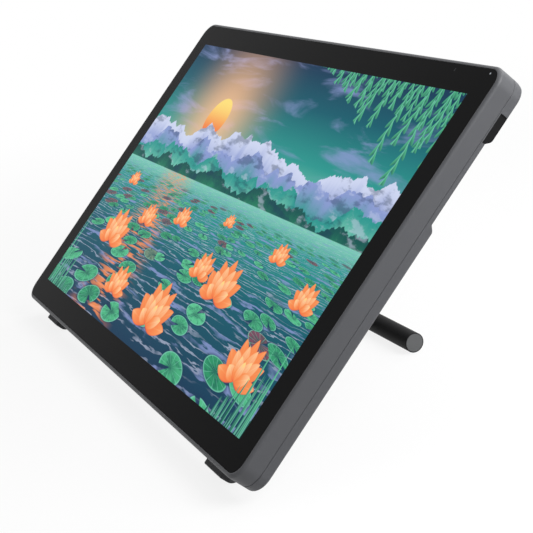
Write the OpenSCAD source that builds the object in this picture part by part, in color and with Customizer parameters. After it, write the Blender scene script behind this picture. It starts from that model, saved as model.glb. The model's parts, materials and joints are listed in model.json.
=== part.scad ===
// Pen display on its folding stand, standing as in use.
// Head frame: X to the right, Y up along the screen, Z out of the screen, origin at the middle of the glass.

/* [Screen] */
// Width of the picture
screen_w = 476.6; // [400:0.1:600]
// Height of the picture
screen_h = 268.1; // [230:0.1:340]
// Border from the picture to the side of the body
border_x = 24.7; // [24:0.1:40]
// Border from the picture to the top and bottom of the body
border_y = 23.5; // [23:0.1:40]

/* [Front frame] */
// Radius of the body's corners, seen from the front
corner_r = 14; // [12:0.5:20]
// Rim of the frame beside the glass
rim_w = 3; // [2:0.1:4]
// Rounding of the frame's front edge
rim_r = 2.6; // [1:0.1:3.5]
// Thickness of the frame's outer wall
frame_wall = 3; // [2:0.1:3.5]
// Width of the ledge that carries the glass
ledge_w = 12; // [11:0.1:13]
// Thickness of that ledge
ledge_t = 2; // [1.5:0.1:3]

/* [Display stack] */
// Thickness of the cover glass
glass_t = 2; // [1:0.1:3]
// Thickness of the LCD cell
panel_t = 1.6; // [1:0.1:2.5]
// Depth of the backlight tray
tray_t = 6; // [5:0.1:9]
// Sheet thickness of the tray
tray_wall = 0.8; // [0.5:0.1:1.2]
// Thickness of the pen sensor board
sensor_t = 0.8; // [0.6:0.1:1.6]
// Thickness of the chassis plate
chassis_t = 1; // [0.8:0.1:2]

/* [Back cover] */
// Depth of the back cover behind the seam
cover_depth = 8.5; // [8:0.1:12]
// Wall of the back cover
cover_wall = 2.2; // [1.6:0.1:2.5]
// Rounding of the cover's side and bottom edges
cover_edge_r = 2.5; // [1:0.1:3]
// Top of the body to the channel across the back
channel_top = 43.55; // [41:0.05:60]
// Width of that channel
channel_w = 71; // [50:1:74]
// Depth of the channel
channel_depth = 4.5; // [3:0.1:5]
// Length of the port recess from the right wall
recess_len = 113; // [100:1:140]
// Top of the body to the port recess
recess_top = 25.55; // [24.5:0.05:30]
// Floor of the port recess, behind the seam
recess_floor = 1.6; // [1.2:0.1:2]
// Height of the shadow gap at the seam
seam_h = 0.6; // [0.3:0.1:1]
// Depth of the shadow gap at the seam
seam_d = 0.5; // [0.2:0.1:1]

/* [Vents] */
// Slots in each of the two vents
vent_n = 15; // [6:1:18]
// Spacing of the slots
vent_pitch = 6; // [4:0.5:7]
// Width of a slot
vent_slot_w = 2.2; // [1.5:0.1:3]
// Length of a slot
vent_slot_l = 26; // [16:1:30]
// Middle of a vent from the middle of the body
vent_x = 135; // [125:1:145]
// Middle of a vent above the middle of the screen
vent_y = 15; // [5:1:18]

/* [Feet] */
// Width of a foot
foot_w = 30; // [20:1:45]
// Middle of a foot from the middle of the body
foot_x = 205; // [170:1:215]
// How far a foot stands below the bottom wall
foot_drop = 6; // [3:0.5:8]
// How far a foot stands behind the back
foot_back = 6; // [3:0.5:8]
// Rounding of a foot's corner that meets the desk
foot_r = 7; // [5:0.5:8]
// How far a foot reaches up the back
foot_up = 16; // [12:1:24]

/* [Stand] */
// Tilt of the screen from the desk, as it stands
rest_tilt = 43; // [35:1:55]
// Hinge axis below the middle of the screen
hinge_low = 85; // [80:1:95]
// Hinge axis behind the back
hinge_out = 12; // [11.5:0.5:16]
// Leg from hinge axis to rod axis
leg_len = 146; // [135:1:160]
// Width of the leg
leg_w = 56; // [44:1:58]
// Radius of the leg's knuckle
knuckle_r = 9; // [8:0.5:9.5]
// Radius of the hinge shaft
shaft_r = 4; // [3:0.5:5]
// Outer radius of the foot rod
rod_r = 8; // [7.6:0.1:10]
// Length of the foot rod
rod_len = 210; // [180:1:240]
// Radius of the rod's steel core
core_r = 5.5; // [5:0.1:6]
// Thickness of the stand's ears
ear_t = 4; // [3:0.5:4]
// Thickness of the stand's base plate
plate_t = 3; // [2:0.5:4]
// Reach of the release lever from the hinge axis
lever_len = 52; // [40:1:60]

/* [Mounts] */
// Hole spacing for a display arm
arm_pitch = 100; // [96:1:104]
// Hole spacing for the stand
stand_pitch = 75; // [70:1:78]
// Middle of both patterns below the middle of the screen
pattern_low = 15; // [12:1:20]
// Radius of the threaded holes
thread_r = 2; // [1.5:0.1:2.2]

/* [Buttons] */
// Length of the power button
power_l = 14; // [10:0.5:18]
// Length of a brightness button
bright_l = 11; // [8:0.5:12]
// Width of a button
button_w = 4; // [3:0.1:5]
// Travel of a button
button_travel = 0.8; // [0.5:0.1:1]
// How far a button stands proud
button_proud = 1.2; // [1.1:0.1:2]

/* [Hidden] */
$fn = 64;
eps = 0.01;
cut = 2;
fit_gap = 0.2;
run_gap = 0.05;
press_gap = 0.02;
part_gap = 0.4;

body_w = screen_w + 2 * border_x;
body_h = screen_h + 2 * border_y;
half_w = body_w / 2;
half_h = body_h / 2;

// Depths behind the front face of the glass
panel_z = glass_t;
tray_z = panel_z + panel_t;
sensor_z = tray_z + tray_t;
chassis_z = sensor_z + sensor_t;
chassis_back = chassis_z + chassis_t;
seam_clear = 2.1;
front_depth = chassis_back + seam_clear;
rear_depth = front_depth + cover_depth;
floor_depth = rear_depth - channel_depth;
recess_z = front_depth + recess_floor;
recess_high = half_h - recess_top;
channel_high = half_h - channel_top;
channel_low = channel_high - channel_w;
ledge_back = glass_t + ledge_t;

// Plan sizes of the display stack
glass_w = body_w - 2 * rim_w - 2 * fit_gap;
glass_h = body_h - 2 * rim_w - 2 * fit_gap;
glass_r = corner_r - rim_w;
opening_w = body_w - 2 * rim_w - 2 * ledge_w;
opening_h = body_h - 2 * rim_w - 2 * ledge_w;
opening_r = 1;
panel_margin = 3.7;
tray_margin_x = 7.2;
tray_margin_y = 6.2;
panel_w = screen_w + 2 * panel_margin;
panel_h = screen_h + 2 * panel_margin;
tray_w = screen_w + 2 * tray_margin_x;
tray_h = screen_h + 2 * tray_margin_y;
sensor_in = 2;
guide_t = 4.2;
strip_h = 3;

// Screws that hold the cover to the frame, and the chassis plate between their bosses
screw_r = 1.25;
screw_head_r = 2.6;
screw_head_t = 2;
screw_seat_t = 3;
screw_boss_wall = 1.4;
pilot_floor = 1;
tip_gap = 0.5;
boss_r = 3.5;
boss_in = 5.5;
screw_row_y = half_h - rim_w - ledge_w + boss_r;
screw_col_x = half_w - frame_wall - boss_in;
chassis_gap_x = 2.5;
chassis_gap_y = 1.3;
chassis_w = 2 * (screw_col_x - boss_r - chassis_gap_x);
chassis_h = 2 * (screw_row_y - boss_r - chassis_gap_y);
screw_x = 150;
screw_low = 110;
screw_mid = 20;
seat_z = front_depth + screw_seat_t;
screw_places = concat(
    [for (sx = [-1, 0, 1], sy = [-1, 1]) [sx * screw_x, sy * screw_row_y]],
    [for (sx = [-1, 1], y = [-screw_low, screw_mid]) [sx * screw_col_x, y]]);

// Threaded inserts
insert_wall = 1;
insert_r = thread_r + insert_wall;
insert_len = 6;
insert_floor = 1;
insert_boss_wall = 1.6;
insert_boss_r = insert_r + insert_boss_wall;
arm_places = [for (sx = [-1, 1], sy = [-1, 1]) [sx, sy] * arm_pitch / 2 + [0, -pattern_low]];
stand_places = [for (sx = [-1, 1], sy = [-1, 1]) [sx, sy] * stand_pitch / 2 + [0, -pattern_low]];

// Boards and sockets
board_t = 1.6;
standoff_h = 1.8;
standoff_r = 3;
board_z = chassis_back + standoff_h;
board_back = board_z + board_t;
main_w = 130;
main_h = 96;
main_at = [150, -52];
main_inset = 6;
processor_s = 26;
processor_t = 1.6;
processor_at = [-18, 8];
memory_w = 14;
memory_h = 18;
memory_t = 1.2;
memory_at = [22, 14];
coil_s = 8;
coil_t = 2.6;
coil_row = -26;
coil_step = 20;
board_head_t = 1.4;
main_corners = [for (sx = [-1, 1], sy = [-1, 1])
    main_at + [sx * (main_w / 2 - main_inset), sy * (main_h / 2 - main_inset)]];
port_h = 16;
port_w = 86;
port_inset = 4;
port_y = recess_high + cover_wall + part_gap;
port_x = half_w - recess_len + port_inset;
port_post_in = 8;
port_t = 1.2;
port_lift = 1;
port_z = chassis_back + port_lift;
socket_z = recess_z + fit_gap;
socket_deep = 9;
socket_end = 2;
tongue_in = 1;
usb_w = 9;
usb_h = 3.3;
usb_tongue_side = 1.2;
usb_tongue_t = 0.7;
video_w = 15;
video_h = 4.3;
video_tongue_side = 2;
video_tongue_t = 1;
jack_w = 7;
jack_h = 4.3;
jack_deep = 11;
jack_bore_r = 1.8;
shell_t = 0.4;
usb_first = 12;
usb_step = 15;
video_step = 20;
jack_step = 21;
usb_x = [port_x + usb_first, port_x + usb_first + usb_step];
video_x = usb_x[1] + video_step;
jack_x = video_x + jack_step;
ribbon_w = 16;
ribbon_t = 0.3;

// Buttons and their switches
button_behind = 4.2;
button_z = ledge_back + button_behind;
power_in = 41;
bright_gap = 32;
bright_step = 16;
power_x = half_w - power_in;
bright_up_x = power_x - bright_gap;
bright_down_x = bright_up_x - bright_step;
flange_t = 1.2;
flange_edge = 1.2;
stem_r = 1.2;
stem_len = 0.6;
inner_top = half_h - frame_wall;
slide_gap = 0.1;
flange_y = inner_top - slide_gap - flange_t;
plunger_y = flange_y - stem_len - button_travel - slide_gap;
switch_w = 6;
switch_body = 3.6;
plunger_r = 1.6;
plunger_len = 1;
button_board_y = plunger_y - plunger_len - switch_body;
button_board_end = 9;
button_board_clear = 1.5;
button_board_back = front_depth - button_board_clear;
light_r = 1;
light_in_x = 14;
light_in_y = 6.5;
light_x = half_w - light_in_x;
light_y = half_h - light_in_y;
light_len = 6;

// Pads near the top of the back
pad_l = 40;
pad_w = 8;
pad_t = 1.5;

// Stand, in the head frame
hinge_z = rear_depth + hinge_out;
plate_side = 5;
plate_end = 9.5;
plate_w = stand_pitch + 2 * plate_side;
plate_h = stand_pitch + 2 * plate_end;
plate_r = 6;
plate_back = rear_depth + plate_t;
ear_in = leg_w / 2 + part_gap;
ear_out = ear_in + ear_t;
ear_r = knuckle_r;
ear_root = 12;
ear_sink = 1;
ear_far = 20;
ear_near = 10;
clutch_len = 11;
clutch_r = 10;
clutch_end = 2;
clutch_bore_r = 7.6;
spring_gap = 1;
lever_gap = 0.3;
lever_in = ear_out + clutch_len + lever_gap;
lever_t = 3.5;
lever_out = lever_in + lever_t;
lever_hub_r = 8.5;
lever_tip_r = 3;
lever_root = 4;
paddle_w = 11;
paddle_l = 12;
washer_t = 1.2;
washer_r = 8;
washers_n = 2;
washer_gap = 0.05;
nut_t = 5;
nut_r = 7;
nut_at = ear_out + washers_n * (washer_t + washer_gap) + washer_gap;
head_t = 1.5;
head_r = 6;
shaft_end = 1;
stand_screw_head_r = 3.5;
stand_screw_head_t = 2.4;
stand_screw_gap = 1;
hex_r = 1.4;
hex_deep = 1.3;
cap_t = 2;
sleeve_lip = 0.7;
cap_r = rod_r - sleeve_lip;
core_wall = 1.5;
core_bore_r = core_r - core_wall;
cap_plug_len = 8;
leg_boss_under = 0.5;
leg_boss_r = rod_r - leg_boss_under;
leg_root_t = 7;
leg_tip_t = 5;
leg_pocket_edge = 9;
leg_pocket_r = 4;
leg_pocket_floor = 4.2;

// The head stands on its feet, the leg reaches down to the desk from the hinge
foot_cy = -(half_h + foot_drop - foot_r);
foot_cz = -(rear_depth + foot_back - foot_r);
head_z = foot_r - foot_cy * sin(rest_tilt) - foot_cz * cos(rest_tilt);
front_edge_y = (rim_r - half_h) * cos(rest_tilt) + rim_r * sin(rest_tilt) - rim_r;
back_edge_y = (half_h - cover_depth) * cos(rest_tilt) + front_depth * sin(rest_tilt) + cover_depth;
head_y = -(front_edge_y + back_edge_y) / 2;
hinge_height = head_z - hinge_low * sin(rest_tilt) - hinge_z * cos(rest_tilt);
hinge_back = head_y - hinge_low * cos(rest_tilt) + hinge_z * sin(rest_tilt);
leg_down = asin((hinge_height - rod_r) / leg_len);

charcoal = [0.27, 0.27, 0.28];
black = [0.06, 0.06, 0.065];
rubber = [0.09, 0.09, 0.09];
steel = [0.62, 0.63, 0.65];
board_green = [0.08, 0.28, 0.16];

// Placing

module in_head() {
    translate([0, head_y, head_z]) rotate([rest_tilt, 0, 0]) children();
}

// Leg frame: X along the hinge, Y from the hinge to the rod
module in_leg() {
    translate([0, hinge_back, hinge_height]) rotate([-leg_down, 0, 0]) children();
}

module at_hinge() {
    translate([0, -hinge_low, -hinge_z]) children();
}

// Extrudes an outline drawn in Y and Z along X
module along_x(length) {
    rotate([90, 0, 90]) linear_extrude(length) children();
}

// Extrudes an outline drawn in X and Z, from y0 downwards by length
module along_y(y0, length) {
    translate([0, y0, 0]) rotate([90, 0, 0]) linear_extrude(length) children();
}

// Flat shapes

module rounded_rect(w, h, r) {
    square([w - 2 * r, h], center = true);
    square([w, h - 2 * r], center = true);
    for (sx = [-1, 1], sy = [-1, 1]) translate([sx * (w / 2 - r), sy * (h / 2 - r)]) circle(r);
}

module slot(length, width) {
    square([length - width, width], center = true);
    for (s = [-1, 1]) translate([s * (length - width) / 2, 0]) circle(width / 2);
}

// A plate between two depths behind the glass
module layer(w, h, r, z0, z1) {
    translate([0, 0, -z1]) linear_extrude(z1 - z0) rounded_rect(w, h, r);
}

module box_layer(w, h, z0, z1) {
    translate([-w / 2, -h / 2, -z1]) cube([w, h, z1 - z0]);
}

module disc(at, r, z0, z1) {
    translate([at[0], at[1], -z1]) cylinder(r = r, h = z1 - z0);
}

// A tube or pin along X
module rod_x(x0, x1, r) {
    translate([x0, 0, 0]) rotate([0, 90, 0]) cylinder(r = r, h = x1 - x0);
}

// Outline of a slab's edge with its top corner rounded
module soft_edge(r, t, f) {
    translate([0, -t]) square([r - f, t]);
    translate([0, -t]) square([r, t - f]);
    translate([r - f, -f]) circle(f);
}

module soft_section(s, r, t, f) {
    for (m = [0, 1]) mirror([m, 0]) translate([s / 2 - r, 0]) soft_edge(r, t, f);
    translate([r - s / 2, -t]) square([s - 2 * r, t]);
}

// Slab below z = 0 with rounded corners and a rounded top edge
module soft_slab(w, h, r, t, f) {
    for (sx = [-1, 1], sy = [-1, 1]) translate([sx * (w / 2 - r), sy * (h / 2 - r), 0])
        rotate([0, 0, sx > 0 ? (sy > 0 ? 0 : 270) : (sy > 0 ? 90 : 180)])
            rotate_extrude(angle = 90) soft_edge(r, t, f);
    translate([r - w / 2, 0, 0]) along_x(w - 2 * r) soft_section(h, r, t, f);
    for (sx = [-1, 1]) translate([sx * (w / 2 - r), 0, 0]) rotate([0, 0, sx > 0 ? 0 : 180])
        along_y(h / 2 - r, h - 2 * r) soft_edge(r, t, f);
}

// Head

module front_frame() {
    color(charcoal) in_head() difference() {
        union() {
            difference() {
                soft_slab(body_w, body_h, corner_r, front_depth, rim_r);
                layer(body_w - 2 * rim_w, body_h - 2 * rim_w, glass_r, -cut, glass_t);
                layer(opening_w, opening_h, opening_r, 0, front_depth);
                layer(body_w - 2 * frame_wall, body_h - 2 * frame_wall, corner_r - frame_wall,
                    ledge_back, front_depth + cut);
            }
            for (p = screw_places) disc(p, boss_r, ledge_back - eps, front_depth);
        }
        for (p = screw_places) disc(p, screw_r, ledge_back + pilot_floor, front_depth + cut);
        disc([light_x, light_y], light_r + run_gap, 0, front_depth);
        button_cuts();
    }
}

module button_cuts() {
    button_hole(power_x, power_l);
    button_hole(bright_up_x, bright_l);
    button_hole(bright_down_x, bright_l);
}

module button_hole(x, length) {
    along_y(half_h + cut, frame_wall + 2 * cut)
        translate([x, -button_z]) slot(length + 2 * fit_gap, button_w + 2 * fit_gap);
}

module cover_glass() {
    color(black) in_head() layer(glass_w, glass_h, glass_r - fit_gap, 0, glass_t);
}

module lcd_panel() {
    color([0.1, 0.3, 0.32]) in_head() box_layer(panel_w, panel_h, panel_z, tray_z);
}

module diffuser_sheet() {
    color("white") in_head()
        box_layer(panel_w, panel_h, tray_z + eps, sensor_z - tray_wall - guide_t);
}

module light_guide() {
    color([0.9, 0.95, 0.97]) in_head() translate([0, strip_h / 2, 0])
        box_layer(panel_w, panel_h - strip_h, sensor_z - tray_wall - guide_t, sensor_z - tray_wall);
}

module led_strip() {
    color([0.95, 0.95, 0.8]) in_head() translate([0, (strip_h - panel_h) / 2, 0])
        box_layer(panel_w, strip_h, sensor_z - tray_wall - guide_t, sensor_z - tray_wall);
}

module lcd_tray() {
    color(steel) in_head() difference() {
        box_layer(tray_w, tray_h, tray_z, sensor_z);
        box_layer(tray_w - 2 * tray_wall, tray_h - 2 * tray_wall, tray_z - cut, sensor_z - tray_wall);
    }
}

module sensor_board() {
    color(board_green) in_head() box_layer(tray_w - 2 * sensor_in, tray_h - 2 * sensor_in, sensor_z, chassis_z);
}

module chassis_plate() {
    color(steel) in_head() {
        difference() {
            union() {
                box_layer(chassis_w, chassis_h, chassis_z, chassis_back);
                for (p = main_corners) disc(p, standoff_r, chassis_back - eps, board_z);
                for (x = [port_x + port_post_in, port_x + port_w - port_post_in])
                    disc([x, port_y + standoff_r], standoff_r, chassis_back - eps, port_z);
            }
            for (p = main_corners) disc(p, screw_r, chassis_back, board_z + cut);
        }
    }
}

module main_board() {
    color(board_green) in_head() translate(concat(main_at, 0)) {
        difference() {
            box_layer(main_w, main_h, board_z, board_back);
            for (p = main_corners) disc(p - main_at, screw_r + fit_gap, board_z - cut, board_back + cut);
        }
        color(black) translate(concat(processor_at, 0))
            box_layer(processor_s, processor_s, board_back, board_back + processor_t);
        color(black) translate(concat(memory_at, 0))
            box_layer(memory_w, memory_h, board_back, board_back + memory_t);
        color("gray") for (i = [-2 : 2]) translate([i * coil_step, coil_row, 0])
            box_layer(coil_s, coil_s, board_back, board_back + coil_t);
    }
}

module board_screws() {
    color(steel) in_head() for (p = main_corners) {
        disc(p, screw_r - press_gap, chassis_back + fit_gap, board_back + eps);
        disc(p, screw_head_r, board_back, board_back + board_head_t);
    }
}

module port_board() {
    color(board_green) in_head() translate([port_x, port_y, -port_z - port_t]) cube([port_w, port_h, port_t]);
}

// A socket that opens downwards into the recess, hung from the port board
module socket(x, w, h) {
    translate([x - w / 2, recess_high, -socket_z - h]) difference() {
        cube([w, socket_deep, h]);
        translate([shell_t, -cut, shell_t])
            cube([w - 2 * shell_t, socket_deep - socket_end + cut, h - 2 * shell_t]);
    }
    translate([x - w / 2, port_y, -socket_z])
        cube([w, socket_deep - port_y + recess_high, socket_z - port_z - port_t]);
}

// The contact tongue in the middle of a socket
module tongue(x, w, h, t) {
    color(black) translate([x - w / 2, recess_high + tongue_in, -socket_z - h / 2 - t / 2])
        cube([w, socket_deep - socket_end, t]);
}

module usb_ports() {
    color("silver") in_head() for (x = usb_x) {
        socket(x, usb_w, usb_h);
        tongue(x, usb_w - 2 * usb_tongue_side, usb_h, usb_tongue_t);
    }
}

module video_port() {
    color("silver") in_head() {
        socket(video_x, video_w, video_h);
        tongue(video_x, video_w - 2 * video_tongue_side, video_h, video_tongue_t);
    }
}

module power_jack() {
    color(black) in_head() difference() {
        translate([jack_x - jack_w / 2, recess_high, -socket_z - jack_h])
            cube([jack_w, jack_deep, jack_h]);
        along_y(recess_high + socket_deep, socket_deep + cut)
            translate([jack_x, -socket_z - jack_h / 2]) circle(jack_bore_r);
    }
    color(black) in_head() translate([jack_x - jack_w / 2, port_y, -socket_z - eps])
        cube([jack_w, socket_deep - port_y + recess_high, socket_z - port_z - port_t + eps]);
}

module board_ribbon() {
    color([0.85, 0.6, 0.25]) in_head()
        translate([port_x + port_w / 2 - ribbon_w / 2, main_at[1], -chassis_back - ribbon_t])
            cube([ribbon_w, port_y + standoff_r - main_at[1], ribbon_t]);
}

module button_board() {
    color(board_green) in_head()
        translate([bright_down_x - button_board_end, button_board_y - board_t, -button_board_back])
        cube([power_x - bright_down_x + 2 * button_board_end, board_t,
            button_board_back - ledge_back]);
}

module key_switches() {
    color(steel) in_head() for (x = [power_x, bright_up_x, bright_down_x]) translate([x, 0, -button_z]) {
        translate([-switch_w / 2, button_board_y, -switch_w / 2])
            cube([switch_w, switch_body, switch_w]);
        along_y(plunger_y, plunger_len + eps) circle(plunger_r);
    }
}

// A button cap with its inner flange and stem
module button(x, length) {
    translate([x, 0, -button_z]) {
        along_y(half_h + button_proud, half_h + button_proud - flange_y) slot(length, button_w);
        along_y(flange_y + flange_t, flange_t) slot(length + 2 * flange_edge, button_w + 2 * flange_edge);
        along_y(flange_y, stem_len) circle(stem_r);
    }
}

module power_button() {
    color(black) in_head() button(power_x, power_l);
}

module brightness_up_button() {
    color(black) in_head() button(bright_up_x, bright_l);
}

module brightness_down_button() {
    color(black) in_head() button(bright_down_x, bright_l);
}

module status_light_pipe() {
    color("white") in_head() disc([light_x, light_y], light_r, glass_t, glass_t + light_len);
}

// Section of the channel, grown into the wall by d
module channel_section(d) {
    slope = channel_depth + cut;
    low = channel_low - cut - d * sqrt(2);
    high = channel_high + cut + d * sqrt(2);
    polygon([[low, -rear_depth - cut], [low + slope + d, d - floor_depth],
        [high - slope - d, d - floor_depth], [high, -rear_depth - cut]]);
}

// Side section of the back cover, drawn in by d: round at the top, with the channel
module cover_section(d, front) {
    difference() {
        union() {
            translate([-half_h + d, -rear_depth + d])
                square([body_h - d - cover_depth, cover_depth - d + front]);
            translate([half_h - cover_depth, -front_depth]) circle(cover_depth - d);
            translate([half_h - cover_depth - eps, -front_depth]) square([cover_depth + eps - d, front + eps]);
        }
        channel_section(d);
    }
}

// Port recess down to the foot of the channel's upper slope, grown into the wall by d
module recess_block(d) {
    low = channel_high - channel_depth - d;
    translate([half_w - recess_len - d, low, -rear_depth - cut])
        cube([recess_len + d + cut, recess_high + d - low, rear_depth + cut - recess_z + d]);
}

module cover_shell() {
    difference() {
        intersection() {
            translate([0, 0, -rear_depth]) mirror([0, 0, 1])
                soft_slab(body_w, body_h, corner_r, cover_depth, cover_edge_r);
            translate([-half_w - cut, 0, 0]) along_x(body_w + 2 * cut) cover_section(0, 0);
        }
        difference() {
            intersection() {
                layer(body_w - 2 * cover_wall, body_h - 2 * cover_wall, corner_r - cover_wall,
                    front_depth - cut, rear_depth - cover_wall);
                translate([-half_w, 0, 0]) along_x(body_w) cover_section(cover_wall, cut);
            }
            recess_block(cover_wall);
        }
        recess_block(0);
    }
}

module back_cover() {
    color(charcoal) in_head() difference() {
        union() {
            cover_shell();
            for (p = concat(arm_places, stand_places))
                disc(p, insert_boss_r, rear_depth - insert_len - insert_floor, rear_depth - eps);
            for (p = screw_places) intersection() {
                disc(p, screw_head_r + screw_boss_wall, front_depth, rear_depth);
                translate([-half_w, 0, 0]) along_x(body_w) cover_section(eps, 0);
            }
        }
        for (p = concat(arm_places, stand_places))
            disc(p, insert_r + press_gap, rear_depth - insert_len, rear_depth + cut);
        for (p = screw_places) {
            disc(p, screw_r + fit_gap, front_depth - cut, rear_depth);
            disc(p, screw_head_r + fit_gap, seat_z, rear_depth + cut);
        }
        seam_cut();
        socket_cuts();
        vent_cuts();
    }
}

// Shadow gap round the cover, just behind the seam
module seam_cut() {
    difference() {
        layer(body_w + cut, body_h + cut, corner_r, front_depth - cut, front_depth + seam_h);
        layer(body_w - 2 * seam_d, body_h - 2 * seam_d, corner_r - seam_d, front_depth - 2 * cut, rear_depth);
    }
}

// Two rows of upright slots over the boards
module vent_cuts() {
    for (s = [-1, 1], i = [0 : vent_n - 1])
        translate([s * vent_x + (i - (vent_n - 1) / 2) * vent_pitch, vent_y, -rear_depth - cut])
            linear_extrude(2 * cut + cover_wall) rotate(90) slot(vent_slot_l, vent_slot_w);
}

module socket_cuts() {
    for (x = usb_x) socket_cut(x, usb_w, usb_h);
    socket_cut(video_x, video_w, video_h);
    socket_cut(jack_x, jack_w, jack_h);
}

module socket_cut(x, w, h) {
    translate([x - w / 2 - fit_gap, recess_high - cut, -socket_z - h - fit_gap])
        cube([w + 2 * fit_gap, cover_wall + 2 * cut, h + 2 * fit_gap]);
}

module cover_screws() {
    color(steel) in_head() for (p = screw_places) {
        disc(p, screw_r - press_gap, ledge_back + pilot_floor + tip_gap, seat_z + eps);
        disc(p, screw_head_r, seat_z, seat_z + screw_head_t);
    }
}

module mount_inserts() {
    color([0.75, 0.6, 0.3]) in_head() for (p = concat(arm_places, stand_places)) difference() {
        disc(p, insert_r, rear_depth - insert_len, rear_depth);
        disc(p, thread_r, rear_depth - insert_len - cut, rear_depth + cut);
    }
}

// Foot that wraps the bottom rear edge
module rubber_feet() {
    color(rubber) in_head() for (s = [-1, 1]) translate([s * foot_x - foot_w / 2, 0, 0]) along_x(foot_w)
        difference() {
            union() {
                translate([foot_cy, foot_cz]) circle(foot_r);
                translate([foot_cy - foot_r, foot_cz])
                    square([foot_drop + cover_edge_r + eps, -foot_cz - front_depth - seam_h]);
                translate([foot_cy, foot_cz - foot_r]) square([foot_up, foot_back + cover_edge_r]);
            }
            translate([-half_h, -rear_depth]) square([body_h, rear_depth]);
        }
}

module upper_pads() {
    color(rubber) in_head() for (s = [-1, 1]) translate([s * foot_x, 0, 0])
        translate([0, (recess_high + half_h - cover_depth) / 2, -rear_depth - pad_t])
            linear_extrude(pad_t) slot(pad_l, pad_w);
}

// Stand

module stand_plate() {
    color(steel) in_head() difference() {
        union() {
            translate([0, -pattern_low, 0]) layer(plate_w, plate_h, plate_r, rear_depth, plate_back);
            for (s = [-1, 1]) translate([s > 0 ? ear_in : -ear_out, 0, 0]) along_x(ear_t) ear_outline();
        }
        at_hinge() rod_x(-ear_out - cut, ear_out + cut, shaft_r + run_gap);
        for (p = stand_places) {
            disc(p, thread_r + fit_gap, rear_depth - cut, plate_back + cut);
            disc(p, stand_screw_head_r + part_gap, plate_back, hinge_z + ear_r + cut);
        }
    }
}

module ear_outline() {
    plate_low = -pattern_low - plate_h / 2;
    translate([-hinge_low, -hinge_z]) circle(ear_r);
    polygon([[plate_low + ear_sink, ear_sink - plate_back],
        [plate_low + 2 * ear_r + ear_root, ear_sink - plate_back],
        [-hinge_low + ear_r * sin(ear_far), -hinge_z - ear_r * cos(ear_far)],
        [-hinge_low - ear_r * sin(ear_near), -hinge_z + ear_r * cos(ear_near)]]);
}

module stand_screws() {
    color([0.2, 0.2, 0.2]) in_head() for (p = stand_places) {
        disc(p, thread_r - press_gap, rear_depth - insert_len + stand_screw_gap, plate_back + eps);
        difference() {
            disc(p, stand_screw_head_r, plate_back, plate_back + stand_screw_head_t);
            translate([p[0], p[1], -plate_back - stand_screw_head_t - cut])
                cylinder(r = hex_r, h = cut + hex_deep, $fn = 6);
        }
    }
}

module hinge_shaft() {
    color(steel) in_head() at_hinge() {
        rod_x(-lever_out - lever_gap - head_t, nut_at + nut_t + shaft_end, shaft_r);
        rod_x(-lever_out - lever_gap - head_t, -lever_out - lever_gap, head_r);
    }
}

module hinge_washers() {
    color(steel) in_head() at_hinge() for (i = [0 : washers_n - 1]) difference() {
        translate([ear_out + i * (washer_t + washer_gap), 0, 0]) rod_x(0, washer_t, washer_r);
        rod_x(0, nut_at + cut, shaft_r + run_gap);
    }
}

module hinge_nut() {
    color(steel) in_head() at_hinge() difference() {
        translate([nut_at, 0, 0]) rotate([0, 90, 0]) cylinder(r = nut_r, h = nut_t, $fn = 6);
        rod_x(nut_at - cut, nut_at + nut_t + cut, shaft_r + press_gap);
    }
}

module clutch_housing() {
    color(charcoal) in_head() at_hinge() difference() {
        rod_x(-ear_out - clutch_len, -ear_out, clutch_r);
        rod_x(-ear_out - clutch_len + clutch_end, -ear_out + cut, clutch_bore_r);
        rod_x(-ear_out - clutch_len - cut, -ear_out + cut, shaft_r + part_gap);
    }
}

module clutch_spring() {
    color(steel) in_head() at_hinge() difference() {
        rod_x(-ear_out - clutch_len + clutch_end + spring_gap, -ear_out, clutch_bore_r - part_gap);
        rod_x(-ear_out - clutch_len, -ear_out + cut, shaft_r + part_gap);
    }
}

module release_lever() {
    color(black) in_head() at_hinge() difference() {
        union() {
            translate([-lever_out, 0, 0]) along_x(lever_t) {
                circle(lever_hub_r);
                polygon([[0, lever_root], [0, -lever_root],
                    [lever_len, -lever_tip_r], [lever_len, lever_tip_r]]);
                translate([lever_len, 0]) circle(lever_tip_r);
            }
            translate([-lever_in - paddle_w, lever_len - paddle_l, 0]) along_x(paddle_w) {
                translate([0, -lever_tip_r]) square([paddle_l, 2 * lever_tip_r]);
                for (y = [0, paddle_l]) translate([y, 0]) circle(lever_tip_r);
            }
        }
        rod_x(-lever_out - cut, -lever_in + cut, shaft_r + run_gap);
    }
}

module stand_leg() {
    color(charcoal) in_leg() difference() {
        translate([-leg_w / 2, 0, 0]) along_x(leg_w) {
            circle(knuckle_r);
            polygon([[0, leg_root_t], [0, -leg_root_t], [leg_len, -leg_tip_t], [leg_len, leg_tip_t]]);
            translate([leg_len, 0]) circle(leg_boss_r);
        }
        rod_x(-leg_w, leg_w, shaft_r + press_gap);
        translate([0, leg_len, 0]) rod_x(-leg_w, leg_w, core_r + press_gap);
        translate([0, leg_len / 2, -leg_root_t - cut]) linear_extrude(leg_root_t + cut - leg_pocket_floor)
            rounded_rect(leg_w - 2 * leg_pocket_edge, leg_len - 2 * (knuckle_r + leg_pocket_edge),
                leg_pocket_r);
    }
}

module at_rod() {
    in_leg() translate([0, leg_len, 0]) children();
}

module foot_rod() {
    color(steel) at_rod() difference() {
        rod_x(cap_t - rod_len / 2, rod_len / 2 - cap_t, core_r);
        rod_x(-rod_len, rod_len, core_bore_r);
    }
}

module rod_sleeves() {
    color(black) at_rod() for (m = [0, 1]) mirror([m, 0, 0]) difference() {
        rod_x(leg_w / 2 + part_gap, rod_len / 2, rod_r);
        rod_x(0, rod_len, core_r + press_gap);
        rod_x(rod_len / 2 - cap_t, rod_len, cap_r + press_gap);
    }
}

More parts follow.
